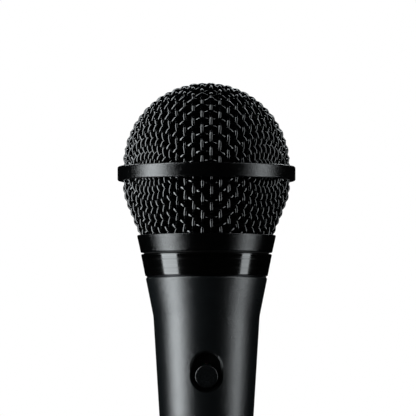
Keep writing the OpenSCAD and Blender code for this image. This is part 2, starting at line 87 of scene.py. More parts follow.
for lampName, lamp in lamps.items():
    turn = math.radians((lamp["from"] + lamp["to"]) / 2)
    half = math.radians(abs(lamp["to"] - lamp["from"]) / 2)
    level = (lamp["low"] + lamp["high"]) / 2
    place = (-math.sin(turn) * lamp["reach"], -math.cos(turn) * lamp["reach"], level)
    width = 2 * lamp["reach"] * math.tan(half)
    addSoftbox(lampName, place, (0.0, 0.0, level), width, lamp["high"] - lamp["low"], lamp["glow"])
addSoftbox("crownLight", crown["place"], crown["target"], crown["width"], crown["height"], crown["glow"])


def levelBy(tree, factor, low, high, socket):  # a factor of 0 to 1 sets a value between two limits
    level = tree.nodes.new("ShaderNodeMapRange")
    level.inputs["To Min"].default_value = low
    level.inputs["To Max"].default_value = high
    tree.links.new(factor, level.inputs["Value"])
    tree.links.new(level.outputs["Result"], socket)


# white behind the object, an even room for its shading
room = {"tint": (1.0, 1.0, 1.0, 1.0), "ambient": 0.9, "seen": 1.0}
world = bpy.data.worlds.new("room")
world.use_nodes = True
bpy.context.scene.world = world
tree = world.node_tree
background = tree.nodes["Background"]
background.inputs["Color"].default_value = room["tint"]
path = tree.nodes.new("ShaderNodeLightPath")
seen = path.outputs["Is Camera Ray"]
for ray in ("Is Glossy Ray", "Is Transmission Ray"):
    either = tree.nodes.new("ShaderNodeMath")
    either.operation = "MAXIMUM"
    tree.links.new(seen, either.inputs[0])
    tree.links.new(path.outputs[ray], either.inputs[1])
    seen = either.outputs[0]
levelBy(tree, seen, room["ambient"], room["seen"], background.inputs["Strength"])
print("lamps and room set")


# shared effects
def makeGroup(name, inputs, outputs):
    group = bpy.data.node_groups.new(name, "ShaderNodeTree")
    for label, value in inputs.items():
        socket = group.interface.new_socket(label, in_out="INPUT", socket_type="NodeSocketFloat")
        socket.default_value = value
    for label in outputs:
        group.interface.new_socket(label, in_out="OUTPUT", socket_type="NodeSocketFloat")
    return group, group.nodes.new("NodeGroupInput"), group.nodes.new("NodeGroupOutput")


def stretched(group, source, low, high):  # spreads a noise over 0 to 1
    spread = group.nodes.new("ShaderNodeMapRange")
    spread.inputs["From Min"].default_value = low
    spread.inputs["From Max"].default_value = high
    group.links.new(source, spread.inputs["Value"])
    return spread.outputs["Result"]


noises = {
    "Grain": {"scale": "Fine", "detail": 1.0, "low": 0.28, "high": 0.72},
    "Mottle": {"scale": "Coarse", "detail": 4.0, "low": 0.3, "high": 0.7},
    "Speck": {"scale": "Speck", "detail": 0.0, "low": 0.25, "high": 0.75},
}
coatGrain, start, end = makeGroup("coatGrain", {"Fine": 2400.0, "Coarse": 200.0, "Speck": 3400.0}, noises)
coords = coatGrain.nodes.new("ShaderNodeTexCoord")
for label, kind in noises.items():
    noise = coatGrain.nodes.new("ShaderNodeTexNoise")
    noise.inputs["Detail"].default_value = kind["detail"]
    coatGrain.links.new(coords.outputs["Object"], noise.inputs["Vector"])
    coatGrain.links.new(start.outputs[kind["scale"]], noise.inputs["Scale"])
    coatGrain.links.new(stretched(coatGrain, noise.outputs[0], kind["low"], kind["high"]), end.inputs[label])

lathe = {"scale": 1.0, "detail": 2.0, "low": 0.25, "high": 0.75}
turnedLines, start, end = makeGroup("turnedLines", {"Density": 6000.0}, ["Lines"])
coords = turnedLines.nodes.new("ShaderNodeTexCoord")
axes = turnedLines.nodes.new("ShaderNodeSeparateXYZ")
along = turnedLines.nodes.new("ShaderNodeMath")
along.operation = "MULTIPLY"
noise = turnedLines.nodes.new("ShaderNodeTexNoise")
noise.noise_dimensions = "1D"
noise.inputs["Scale"].default_value = lathe["scale"]
noise.inputs["Detail"].default_value = lathe["detail"]
turnedLines.links.new(coords.outputs["Object"], axes.inputs[0])
turnedLines.links.new(axes.outputs["Z"], along.inputs[0])
turnedLines.links.new(start.outputs["Density"], along.inputs[1])
turnedLines.links.new(along.outputs[0], noise.inputs["W"])
turnedLines.links.new(stretched(turnedLines, noise.outputs[0], lathe["low"], lathe["high"]), end.inputs["Lines"])

cellWall = {"edge": 0.0, "inside": 0.25}
openCells, start, end = makeGroup("openCells", {"Cells": 1500.0}, ["Wall", "Cell"])
coords = openCells.nodes.new("ShaderNodeTexCoord")
cellEdge = openCells.nodes.new("ShaderNodeTexVoronoi")
cellEdge.feature = "DISTANCE_TO_EDGE"
cellTone = openCells.nodes.new("ShaderNodeTexVoronoi")
for cells in (cellEdge, cellTone):
    openCells.links.new(coords.outputs["Object"], cells.inputs["Vector"])
    openCells.links.new(start.outputs["Cells"], cells.inputs["Scale"])
wall = stretched(openCells, cellEdge.outputs["Distance"], cellWall["inside"], cellWall["edge"])
openCells.links.new(wall, end.inputs["Wall"])
openCells.links.new(cellTone.outputs["Distance"], end.inputs["Cell"])


# finishes
def addGroup(tree, group, values):
    node = tree.nodes.new("ShaderNodeGroup")
    node.node_tree = group
    for label, value in values.items():
        node.inputs[label].default_value = value
    return node


def newFinish(name):
    finish = bpy.data.materials.new(name)
    finish.use_nodes = True
    return finish, finish.node_tree, finish.node_tree.nodes["Principled BSDF"]


def tintBy(tree, factor, look, shader):
    tint = tree.nodes.new("ShaderNodeMix")
    tint.data_type = "RGBA"
    tint.inputs[6].default_value = (*look["dark"], 1.0)  # sockets 6, 7 and output 2 are the colours
    tint.inputs[7].default_value = (*look["light"], 1.0)
    tree.links.new(factor, tint.inputs[0])
    tree.links.new(tint.outputs[2], shader.inputs["Base Color"])


def bumpBy(tree, height, depth, shader):
    bump = tree.nodes.new("ShaderNodeBump")
    bump.inputs["Strength"].default_value = 1.0
    bump.inputs["Distance"].default_value = depth
    tree.links.new(height, bump.inputs["Height"])
    tree.links.new(bump.outputs["Normal"], shader.inputs["Normal"])


plainLook = {"metallic": 0.0, "specular": 0.5, "coat": 0.0, "coatRough": 0.4}  # where a look says nothing else


def makeFinish(name, look):
    look = {**plainLook, **look}
    finish, tree, shader = newFinish(name)
    shader.inputs["Metallic"].default_value = look["metallic"]
    shader.inputs["Specular IOR Level"].default_value = look["specular"]
    shader.inputs["Coat Weight"].default_value = look["coat"]  # a faint sheen wider than the highlights
    shader.inputs["Coat Roughness"].default_value = look["coatRough"]
    grain = addGroup(tree, coatGrain, {"Fine": look["fine"], "Coarse": look["coarse"]})
    texture, dulling = grain.outputs["Grain"], grain.outputs["Speck"]
    if "lines" in look:
        lines = addGroup(tree, turnedLines, {"Density": look["lines"]})
        texture = dulling = lines.outputs["Lines"]
    if "speck" in look:  # specks or lines dull the shine
        levelBy(tree, dulling, 0.0, look["speck"], shader.inputs["Metallic"])
    tintBy(tree, grain.outputs["Mottle"], look, shader)
    levelBy(tree, texture, *look["rough"], shader.inputs["Roughness"])
    bumpBy(tree, texture, look["depth"], shader)
    return finish


looks = {
    "handlePaint": {
        "dark": (0.0006, 0.0012, 0.0016), "light": (0.0011, 0.0019, 0.0024), "rough": (0.18, 0.22),
        "fine": 4600.0, "coarse": 240.0, "depth": 3.6e-5, "specular": 0.55, "speck": 0.26,
        "coat": 0.34, "coatRough": 0.38},
    "collarPaint": {
        "dark": (0.0002, 0.0002, 0.0003), "light": (0.0004, 0.0005, 0.0005), "rough": (0.14, 0.18),
        "fine": 4800.0, "coarse": 260.0, "depth": 2.6e-5, "specular": 0.49, "speck": 0.40},
    "beltPaint": {
        "dark": (0.0002, 0.0002, 0.0003), "light": (0.0004, 0.0005, 0.0005), "rough": (0.15, 0.19),
        "fine": 5800.0, "coarse": 240.0, "depth": 2.3e-5, "specular": 0.56, "speck": 0.25},
    "bandGloss": {
        "dark": (0.0001, 0.0001, 0.0001), "light": (0.0003, 0.0003, 0.0003), "rough": (0.05, 0.20),
        "fine": 2600.0, "coarse": 300.0, "depth": 1e-7, "lines": 1900.0, "specular": 0.54, "speck": 0.22},
    "neckMetal": {
        "dark": (0.008, 0.008, 0.009), "light": (0.014, 0.014, 0.015), "rough": (0.26, 0.40),
        "fine": 3000.0, "coarse": 300.0, "depth": 1e-6, "lines": 9000.0, "metallic": 1.0},
    "washerCoat": {
        "dark": (0.003, 0.003, 0.003), "light": (0.005, 0.005, 0.005), "rough": (0.35, 0.45),
        "fine": 3000.0, "coarse": 300.0, "depth": 1e-6, "specular": 0.20},
    "wirePaint": {
        "dark": (0.0002, 0.0002, 0.0003), "light": (0.0004, 0.0005, 0.0005), "rough": (0.04, 0.06),
        "fine": 4000.0, "coarse": 500.0, "depth": 1e-6, "specular": 0.56},
    "buttonPlastic": {
        "dark": (0.0001, 0.0001, 0.0001), "light": (0.0020, 0.0026, 0.0030), "rough": (0.20, 0.28),
        "fine": 2600.0, "coarse": 2800.0, "depth": 3.0e-5, "specular": 0.42},
    "pocketPlastic": {
        "dark": (0.0003, 0.0003, 0.0003), "light": (0.0006, 0.0006, 0.0006), "rough": (0.30, 0.38),
        "fine": 2600.0, "coarse": 300.0, "depth": 4e-6, "specular": 0.20},
    "mountRubber": {
        "dark": (0.012, 0.012, 0.012), "light": (0.02, 0.02, 0.02), "rough": (0.7, 0.85),
        "fine": 1800.0, "coarse": 200.0, "depth": 8e-6},
    "leverPlastic": {
        "dark": (0.62, 0.61, 0.57), "light": (0.70, 0.69, 0.65), "rough": (0.4, 0.5),
        "fine": 2000.0, "coarse": 300.0, "depth": 3e-6},
    "brightSteel": {
        "dark": (0.52, 0.53, 0.55), "light": (0.62, 0.63, 0.64), "rough": (0.22, 0.36),
        "fine": 3500.0, "coarse": 260.0, "depth": 1e-6, "metallic": 1.0},
    "contactGold": {
        "dark": (0.78, 0.58, 0.26), "light": (0.90, 0.70, 0.36), "rough": (0.16, 0.26),
        "fine": 4000.0, "coarse": 300.0, "depth": 8e-7, "metallic": 1.0},
    "copperMetal": {
        "dark": (0.70, 0.36, 0.22), "light": (0.82, 0.46, 0.30), "rough": (0.25, 0.38),
        "fine": 3500.0, "coarse": 300.0, "depth": 1e-6, "metallic": 1.0},
    "tinnedCopper": {
        "dark": (0.30, 0.27, 0.25), "light": (0.38, 0.35, 0.33), "rough": (0.35, 0.5),
        "fine": 3500.0, "coarse": 300.0, "depth": 1e-6, "metallic": 1.0},
    "greenBoard": {
        "dark": (0.02, 0.09, 0.05), "light": (0.03, 0.13, 0.07), "rough": (0.35, 0.5),
        "fine": 2000.0, "coarse": 700.0, "depth": 3e-6},
    "brownBoard": {
        "dark": (0.22, 0.12, 0.05), "light": (0.30, 0.17, 0.08), "rough": (0.45, 0.6),
        "fine": 2000.0, "coarse": 700.0, "depth": 3e-6},
    "redLead": {
        "dark": (0.32, 0.02, 0.02), "light": (0.42, 0.03, 0.03), "rough": (0.38, 0.48),
        "fine": 2500.0, "coarse": 300.0, "depth": 2e-6},
    "yellowLead": {
        "dark": (0.48, 0.36, 0.03), "light": (0.58, 0.44, 0.05), "rough": (0.38, 0.48),
        "fine": 2500.0, "coarse": 300.0, "depth": 2e-6},
    "chamberShell": {
        "dark": (0.48, 0.49, 0.50), "light": (0.58, 0.59, 0.60), "rough": (0.3, 0.44),
        "fine": 3000.0, "coarse": 260.0, "depth": 1e-6, "lines": 5000.0, "metallic": 1.0},
    "capsulePlastic": {
        "dark": (0.015, 0.015, 0.016), "light": (0.024, 0.024, 0.025), "rough": (0.4, 0.5),
        "fine": 2500.0, "coarse": 260.0, "depth": 3e-6},
    "frontCloth": {
        "dark": (0.02, 0.02, 0.02), "light": (0.035, 0.035, 0.035), "rough": (0.85, 0.95),
        "fine": 3500.0, "coarse": 900.0, "depth": 3e-5},
    "magnetMetal": {
        "dark": (0.30, 0.31, 0.33), "light": (0.38, 0.39, 0.41), "rough": (0.3, 0.45),
        "fine": 3000.0, "coarse": 300.0, "depth": 1e-6, "metallic": 1.0},
    "coneFilm": {
        "dark": (0.55, 0.48, 0.34), "light": (0.64, 0.57, 0.42), "rough": (0.2, 0.32),
        "fine": 2000.0, "coarse": 300.0, "depth": 1e-6},
}
finishes = {name: makeFinish(name, look) for name, look in looks.items()}

# foam has open cells instead of a coat
foamLook = {"dark": (0.0004, 0.0004, 0.0004), "light": (0.0012, 0.0012, 0.0012), "rough": (0.8, 1.0),
            "specular": 0.04, "cells": 1500.0, "depth": 2.5e-4}
foamFinish, tree, shader = newFinish("blackFoam")
shader.inputs["Specular IOR Level"].default_value = foamLook["specular"]
cells = addGroup(tree, openCells, {"Cells": foamLook["cells"]})
tintBy(tree, cells.outputs["Wall"], foamLook, shader)
levelBy(tree, cells.outputs["Cell"], *foamLook["rough"], shader.inputs["Roughness"])
bumpBy(tree, cells.outputs["Wall"], foamLook["depth"], shader)
print("finishes made:", len(finishes) + 1)

# modelling helpers, lengths in mm unless a note says metres
weld = 2e-6  # metres, points closer than this become one
crease = 32.0  # degrees, sharper edges stay sharp
softEdge = {"width": 0.08, "segments": 2}


def clearSelection():
    if bpy.context.object and bpy.context.object.mode != "OBJECT":
        bpy.ops.object.mode_set(mode="OBJECT")
    bpy.ops.object.select_all(action="DESELECT")


def pick(piece):  # the only one selected
    clearSelection()
    bpy.context.view_layer.objects.active = piece
    piece.select_set(True)


def applyPlace():
    bpy.ops.object.transform_apply(location=True, rotation=True, scale=True)


def drawOut(x, z):
    bpy.ops.mesh.extrude_region_move(TRANSFORM_OT_translate={"value": (x * mm, 0, z * mm)})


def drawProfile(name, points):  # a line through (radius, height) points, left in edit mode
    clearSelection()
    bpy.ops.mesh.primitive_plane_add(size=mm, location=(0, 0, 0))
    piece = bpy.context.object
    piece.name = name
    piece.data.name = name
    bpy.ops.object.mode_set(mode="EDIT")
    bpy.ops.mesh.merge(type="CENTER")
    bpy.ops.transform.translate(value=(points[0][0] * mm, 0, points[0][1] * mm))
    for a, b in zip(points, points[1:]):
        drawOut(b[0] - a[0], b[1] - a[1])
    bpy.ops.mesh.select_all(action="SELECT")
    return piece


def closeSkin(fill=False):  # welds the seams, fills open ends where asked and leaves edit mode
    bpy.ops.mesh.select_all(action="SELECT")
    bpy.ops.mesh.remove_doubles(threshold=weld)
    if fill:
        bpy.ops.mesh.fill_holes(sides=0)
    bpy.ops.mesh.normals_make_consistent(inside=False)
    bpy.ops.object.mode_set(mode="OBJECT")


def turnProfile(name, points, steps):  # closed where the last point repeats the first
    piece = drawProfile(name, points)
    bpy.ops.mesh.spin(steps=steps, angle=math.tau, center=(0, 0, 0), axis=(0, 0, 1))
    closeSkin()
    return piece


def roundCorner(x, z, radius, fromAngle, toAngle, count=5):
    turns = [math.radians(fromAngle + (toAngle - fromAngle) * k / (count - 1)) for k in range(count)]
    return [(x + radius * math.cos(t), z + radius * math.sin(t)) for t in turns]


def softenEdges(piece):
    bevel = piece.modifiers.new("soften", "BEVEL")
    bevel.width = softEdge["width"] * mm
    bevel.segments = softEdge["segments"]
    bevel.limit_method = "ANGLE"
    bevel.angle_limit = math.radians(crease)
    bpy.ops.object.modifier_apply(modifier="soften")


def cutWith(piece, cutter):
    pick(piece)
    cut = piece.modifiers.new("cut", "BOOLEAN")
    cut.operation = "DIFFERENCE"
    cut.solver = "EXACT"
    cut.object = cutter
    bpy.ops.object.modifier_apply(modifier="cut")
    bpy.data.objects.remove(cutter)


def drawTubes(name, runs, width, sides):  # round bars along rows of points
    curve = bpy.data.curves.new(name, "CURVE")
    curve.dimensions = "3D"
    curve.bevel_depth = width / 2 * mm
    curve.bevel_resolution = sides
    curve.use_fill_caps = True
    for run in runs:
        spline = curve.splines.new("POLY")
        spline.points.add(len(run) - 1)
        for point, co in zip(spline.points, run):
            point.co = (*(co * mm), 1.0)
    tubes = bpy.data.objects.new(name, curve)
    bpy.context.scene.collection.objects.link(tubes)
    pick(tubes)
    bpy.ops.object.convert(target="MESH")
    return bpy.context.object


def settle(piece, finish, body, nodes, angle=crease, even=True):
    pick(piece)
    bpy.ops.object.shade_smooth_by_angle(angle=math.radians(angle))
    if even:  # broad faces keep their own normals beside the small edge rounds
        weighted = piece.modifiers.new("even", "WEIGHTED_NORMAL")
        weighted.keep_sharp = True
        bpy.ops.object.modifier_apply(modifier="even")
    piece.data.materials.clear()
    piece.data.materials.append(finish)
    if isinstance(body, str):
        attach(piece, body)
    else:
        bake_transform(piece)
    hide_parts(*nodes)
    print("piece:", piece.name, len(piece.data.polygons), "faces")


# handle: turned shell, switch pocket and the socket's key groove
handle = {
    "tail": 11.9, "tailLength": 26.0, "tailRound": 0.7, "tailRows": (12.0, 25.4),
    "grip": 15.92, "gripRows": (26.6, 34.0, 42.0, 50.0, 58.0, 64.0, *range(66, 87, 2), 91.2),
    "breakZ": 91.9, "breakRise": 0.03, "neck": 18.25, "neckRows": (92.6, 95.0, 98.0, 101.0),
    "top": 103.5, "topChamfer": 0.34, "topDrop": 0.425, "topRound": 0.3, "topRows": 4, "topTurn": 34.0,
    "socket": 8.1, "socketDepth": 14.0, "socketChamfer": 0.5, "insert": 8.95, "insertTop": 23.0,
    "bore": ((14.16, 95.1), (13.52, 95.1), (13.3, 88.5), (9.2, 87.0), (9.2, 63.0), (11.6, 61.5),
             (9.5, 26.0), (9.5, 23.0)),  # radius and height: ring seat, thick wall at the switch, tail
    "steps": 128,
}
pocket = {
    "z": 75.3, "width": 10.0, "length": 12.5, "wall": 2.38, "ledge": 0.72, "ledgeDrop": 0.42,
    "sides": 72, "clear": 3.0, "reach": 9.0,  # the cutter's height over the handle and depth into it
    "rimRadius": 0.22, "rimSegments": 3, "rimWeld": 1e-5,  # weld in metres
    "rimDepth": 0.03, "rimWidth": 0.12, "rimAngle": 30.0,  # how far from the ideal rim its edges may lie
}
key = {"width": 3.4, "depth": 9.0, "overcut": 1.0}
gripSlope = (handle["grip"] - handle["tail"]) / (handle["breakZ"] - handle["tailLength"])
neckSlope = (handle["neck"] - handle["grip"]) / (handle["top"] - handle["breakZ"])
neckLean = -11.0  # degrees, the way the flared neck faces
switchTilt = math.atan(gripSlope)


def gripRadius(z):
    return handle["tail"] + (z - handle["tailLength"]) * gripSlope


def neckRadius(z):
    return handle["grip"] + (z - handle["breakZ"]) * neckSlope


topEdge = handle["top"] - handle["topDrop"]
outer = [(handle["socket"] + handle["socketChamfer"], 0.0)]
outer += roundCorner(handle["tail"] - handle["tailRound"], handle["tailRound"], handle["tailRound"], -90, 0)
outer += [(handle["tail"], z) for z in handle["tailRows"]]
outer += [(gripRadius(z), z) for z in handle["gripRows"]]
outer += [(handle["grip"] + handle["breakRise"], handle["breakZ"])]
outer += [(neckRadius(z), z) for z in handle["neckRows"]]
outer += roundCorner(neckRadius(topEdge) - handle["topRound"], topEdge, handle["topRound"],
                     neckLean, handle["topTurn"], handle["topRows"])
outer += [(handle["neck"] - handle["topChamfer"], handle["top"])]
inner = [(handle["bore"][0][0], handle["top"]), *handle["bore"]]
inner += [(handle["insert"], handle["insertTop"]), (handle["insert"], handle["socketDepth"])]
inner += [(handle["socket"], handle["socketDepth"]), (handle["socket"], handle["socketChamfer"])]
handleShell = turnProfile("handleShell", outer + inner + outer[:1], handle["steps"])


def placeAtSwitch(piece, depth, rise):  # depth into the handle and rise along its front line
    y = depth * math.cos(switchTilt) - rise * math.sin(switchTilt) - gripRadius(pocket["z"])
    z = pocket["z"] + depth * math.sin(switchTilt) + rise * math.cos(switchTilt)
    piece.rotation_euler = (math.radians(90) + switchTilt, 0, 0)
    piece.location = (0, y * mm, z * mm)
    applyPlace()


# pocket cutter, a circle drawn out to an obround
clearSelection()
bpy.ops.mesh.primitive_circle_add(vertices=pocket["sides"], radius=pocket["width"] / 2 * mm, fill_type="NGON",
                                  rotation=(0, 0, math.pi / pocket["sides"]))
pocketCutter = bpy.context.object
applyPlace()
straight = (pocket["length"] - pocket["width"]) / 2
bpy.ops.object.mode_set(mode="EDIT")
for side in (1, -1):
    edit = bmesh.from_edit_mesh(pocketCutter.data)
    for face in edit.faces:
        face.select_set(False)
    for vert in edit.verts:
        vert.select_set(vert.co.y * side > 0)
    edit.select_flush_mode()
    bmesh.update_edit_mesh(pocketCutter.data)
    bpy.ops.transform.translate(value=(0, side * straight * mm, 0))
bpy.ops.mesh.select_all(action="SELECT")
bpy.ops.transform.translate(value=(0, 0, (pocket["reach"] + pocket["clear"]) * mm))
drawOut(0, -(pocket["clear"] + pocket["wall"]))
drawOut(0, -pocket["ledgeDrop"])
bpy.ops.transform.resize(
    value=(1 - 2 * pocket["ledge"] / pocket["width"], 1 - 2 * pocket["ledge"] / pocket["length"], 1),
    center_override=(0, 0, 0))
drawOut(0, -(pocket["reach"] - pocket["wall"] - pocket["ledgeDrop"]))
bpy.ops.mesh.select_all(action="SELECT")
bpy.ops.mesh.normals_make_consistent(inside=False)
bpy.ops.object.mode_set(mode="OBJECT")
placeAtSwitch(pocketCutter, pocket["reach"], 0.0)
cutWith(handleShell, pocketCutter)

keySize = (key["width"], handle["socket"] + key["overcut"], key["depth"] + key["overcut"])
clearSelection()
bpy.ops.mesh.primitive_cube_add(
    size=1.0, location=(0, keySize[1] / 2 * mm, (key["depth"] - key["overcut"]) / 2 * mm))
keyCutter = bpy.context.object
keyCutter.scale = [length * mm for length in keySize]
applyPlace()
cutWith(handleShell, keyCutter)


def onPocketRim(co):
    depth = abs(math.hypot(co.x, co.y) / mm - gripRadius(co.z / mm))
    z = (co.z / mm - pocket["z"]) / math.cos(switchTilt)
    end = max(abs(z) - straight, 0.0)
    off = abs(math.hypot(co.x / mm, end) - pocket["width"] / 2)
    return co.y < 0 and depth < pocket["rimDepth"] and off < pocket["rimWidth"]


pick(handleShell)
bpy.ops.object.mode_set(mode="EDIT")
bpy.ops.mesh.select_mode(type="EDGE")
bpy.ops.mesh.select_all(action="DESELECT")
edit = bmesh.from_edit_mesh(handleShell.data)
rim = [e for e in edit.edges if len(e.link_faces) == 2 and all(onPocketRim(v.co) for v in e.verts)
       and e.calc_face_angle() > math.radians(pocket["rimAngle"])]
for edge in rim:
    edge.select_set(True)
bmesh.update_edit_mesh(handleShell.data)
print("pocket rim edges:", len(rim))
bpy.ops.mesh.bevel(offset=pocket["rimRadius"] * mm, segments=pocket["rimSegments"], affect="EDGES",
                   clamp_overlap=True)
bpy.ops.mesh.select_mode(type="VERT")
bpy.ops.mesh.select_all(action="SELECT")
bpy.ops.mesh.remove_doubles(threshold=pocket["rimWeld"])
bpy.ops.mesh.dissolve_degenerate(threshold=pocket["rimWeld"])
bpy.ops.object.mode_set(mode="OBJECT")
settle(handleShell, finishes["handlePaint"], "handle", ["handle"])

# thumb button, turned about its own axis and laid into the pocket
button = {"radius": 3.4, "rows": (0.0, 1.5, 2.5), "face": -0.3, "foot": -2.6, "edge": 0.32, "rest": -1.4,
          "steps": 64}
points = [(x, button["face"]) for x in button["rows"]]
points += roundCorner(button["radius"] - button["edge"], button["face"] - button["edge"], button["edge"], 90, 0)
points += [(button["radius"], button["foot"]), (0.0, button["foot"])]
thumbButton = turnProfile("thumbButton", points, button["steps"])
placeAtSwitch(thumbButton, 0.0, button["rest"])
settle(thumbButton, finishes["buttonPlastic"], "switch", ["switch_button"])

# gloss band on the neck ring
band = {"bore": 17.05, "low": 104.0, "high": 110.5, "edge": 0.2, "lowInset": 0.1, "highInset": 0.3, "steps": 160}
points = [(band["bore"], band["low"]), (neckRadius(band["low"]) - band["lowInset"], band["low"])]
points += [(neckRadius(z), z) for z in (band["low"] + band["edge"], band["high"] - band["edge"])]
points += [(neckRadius(band["high"]) - band["highInset"], band["high"]), (band["bore"], band["high"])]
labelBand = turnProfile("labelBand", points + points[:1], band["steps"])
settle(labelBand, finishes["bandGloss"], "handle", ["label_band"])

# collar that screws the grille on
collar = {"bore": 17.08, "low": 111.0, "high": 116.2, "ledge": 115.0, "lip": 0.6,
          "lowRound": 0.25, "highRound": 0.3, "steps": 160}
lipRadius = neckRadius(collar["high"]) - collar["lip"]
points = [(collar["bore"], collar["low"])]
points += roundCorner(neckRadius(collar["low"]) - collar["lowRound"], collar["low"] + collar["lowRound"],
                      collar["lowRound"], -90, neckLean)
points += roundCorner(neckRadius(collar["high"]) - collar["highRound"], collar["high"] - collar["highRound"],
                      collar["highRound"], neckLean, 90)
points += [(lipRadius, collar["high"]), (lipRadius, collar["ledge"]), (collar["bore"], collar["ledge"])]
screwCollar = turnProfile("screwCollar", points + points[:1], collar["steps"])
settle(screwCollar, finishes["collarPaint"], "grille", ["grille_collar"])

# belt between cup and dome
belt = {"bore": 25.3, "outer": 26.7, "low": 132.5, "high": 136.8, "edge": 0.5, "edgeRows": 7,
        "webIn": 23.44, "webLow": 133.75, "webHigh": 135.55, "steps": 192}
edgeRadius = belt["outer"] - belt["edge"]
points = [(belt["webIn"], belt["webLow"]), (belt["bore"], belt["webLow"]), (belt["bore"], belt["low"])]
points += roundCorner(edgeRadius, belt["low"] + belt["edge"], belt["edge"], -90, 0, belt["edgeRows"])
points += roundCorner(edgeRadius, belt["high"] - belt["edge"], belt["edge"], 0, 90, belt["edgeRows"])
points += [(belt["bore"], belt["high"]), (belt["bore"], belt["webHigh"]), (belt["webIn"], belt["webHigh"])]
grilleBelt = turnProfile("grilleBelt", points + points[:1], belt["steps"])
settle(grilleBelt, finishes["beltPaint"], "grille", ["grille_belt"])

# washer in the groove under the collar
washer = {"bore": 17.1, "inset": 0.9, "low": 110.53, "high": 110.97, "steps": 128}
washerRadius = neckRadius(band["high"]) - washer["inset"]
points = [(washer["bore"], washer["low"]), (washerRadius, washer["low"]),
          (washerRadius, washer["high"]), (washer["bore"], washer["high"])]
grooveWasher = turnProfile("grooveWasher", points + points[:1], washer["steps"])
softenEdges(grooveWasher)
settle(grooveWasher, finishes["washerCoat"], "washer", ["grille_washer"])

# neck ring with its thread
neck = {"bore": 15.2, "shelf": 104.8, "top": 114.6, "flangeInset": 0.35, "spigot": 14.11, "spigotBore": 13.01,
        "spigotLow": 95.5, "steps": 128}
thread = {"outer": 17.0, "root": 16.4, "from": 110.4, "pitch": 1.0, "turns": 3, "steps": 96,
          "bury": 0.05, "crest": 0.08, "rows": (0.02, 0.32, 0.42, 0.58, 0.68, 0.98)}
flange = handle["neck"] - neck["flangeInset"]
points = [(neck["spigotBore"], neck["spigotLow"]), (neck["spigot"], neck["spigotLow"]),
          (neck["spigot"], handle["top"]), (flange, handle["top"]), (flange, band["low"]),
          (thread["outer"], band["low"]), (thread["outer"], thread["from"]), (thread["root"], thread["from"]),
          (thread["root"], neck["top"]), (neck["bore"], neck["top"]),
          (neck["bore"], neck["shelf"]), (neck["spigotBore"], neck["shelf"])]
neckRing = turnProfile("neckRing", points + points[:1], neck["steps"])
softenEdges(neckRing)

flank = [thread["root"] - thread["bury"], thread["outer"] - thread["crest"], thread["outer"]]
points = [(x, thread["from"] + z) for x, z in zip(flank + flank[::-1], thread["rows"])]
threadRidge = drawProfile("threadRidge", points + points[:1])
bpy.ops.object.mode_set(mode="OBJECT")
screw = threadRidge.modifiers.new("screw", "SCREW")
screw.angle = math.tau
screw.screw_offset = thread["pitch"] * mm
screw.iterations = thread["turns"]
screw.steps = thread["steps"]
screw.render_steps = thread["steps"]
screw.use_merge_vertices = True
screw.merge_threshold = weld
bpy.ops.object.modifier_apply(modifier="screw")
bpy.ops.object.mode_set(mode="EDIT")
closeSkin(fill=True)
pick(neckRing)
threadRidge.select_set(True)
bpy.ops.object.join()
settle(neckRing, finishes["neckMetal"], "handle", ["neck_ring"])

# rubber mount between neck ring and capsule, which the capsule floats on
mount = {"low": 104.82, "high": 112.98, "bore": 12.25, "foot": 15.15, "seat": 14.8, "rim": 1.5, "shoulder": 2.2,
         "wall": 1.0, "bulge": 0.3, "webRows": 8, "steps": 96}
waist = (mount["bore"] + mount["foot"]) / 2
webLow, webHigh = mount["low"] + mount["shoulder"], mount["high"] - mount["shoulder"]
rimLow, rimHigh = mount["low"] + mount["rim"], mount["high"] - mount["rim"]


def mountWeb(side):  # the bowed wall between the two rims
    radius = waist + side * mount["wall"] / 2
    rise = [k / mount["webRows"] for k in range(mount["webRows"] + 1)]
    return [(radius + mount["bulge"] * math.sin(math.pi * t), webLow + (webHigh - webLow) * t) for t in rise]


points = [(mount["bore"], mount["low"]), (mount["foot"], mount["low"]), (mount["foot"], rimLow)] + mountWeb(1)
points += [(mount["seat"], rimHigh), (mount["seat"], mount["high"]), (mount["bore"], mount["high"])]
points += [(mount["bore"], rimHigh)] + mountWeb(-1)[::-1] + [(mount["bore"], rimLow)]
shockMount = turnProfile("shockMount", points + points[:1], mount["steps"])
settle(shockMount, finishes["mountRubber"], ("handle", "cartridge", (0, 0, webLow * mm), (0, 0, webHigh * mm)),
       ["shock_mount"])

# leads from the switch board to the capsule tags, slack enough for the float
lead = {"from": (3.0, -4.98, 80.11), "to": (3.0, 0.0, 87.05), "width": 1.2, "slack": 0.35, "parts": 12,
        "sides": 3, "smooth": 60.0, "giveLow": 0.0806, "giveHigh": 0.0866}  # give heights in metres
leadRuns = []
for side in (-1, 1):
    run = []
    for k in range(lead["parts"] + 1):
        t = k / lead["parts"]
        co = Vector(lead["from"]).lerp(Vector(lead["to"]), t)
        run.append(Vector((side * (co.x + lead["slack"] * math.sin(math.pi * t)), co.y, co.z)))
    leadRuns.append(run)
cartridgeLeads = drawTubes("cartridgeLeads", leadRuns, lead["width"], lead["sides"])
settle(cartridgeLeads, finishes["yellowLead"],
       ("handle", "cartridge", (0, 0, lead["giveLow"]), (0, 0, lead["giveHigh"])),
       ["cartridge_leads"], angle=lead["smooth"], even=False)

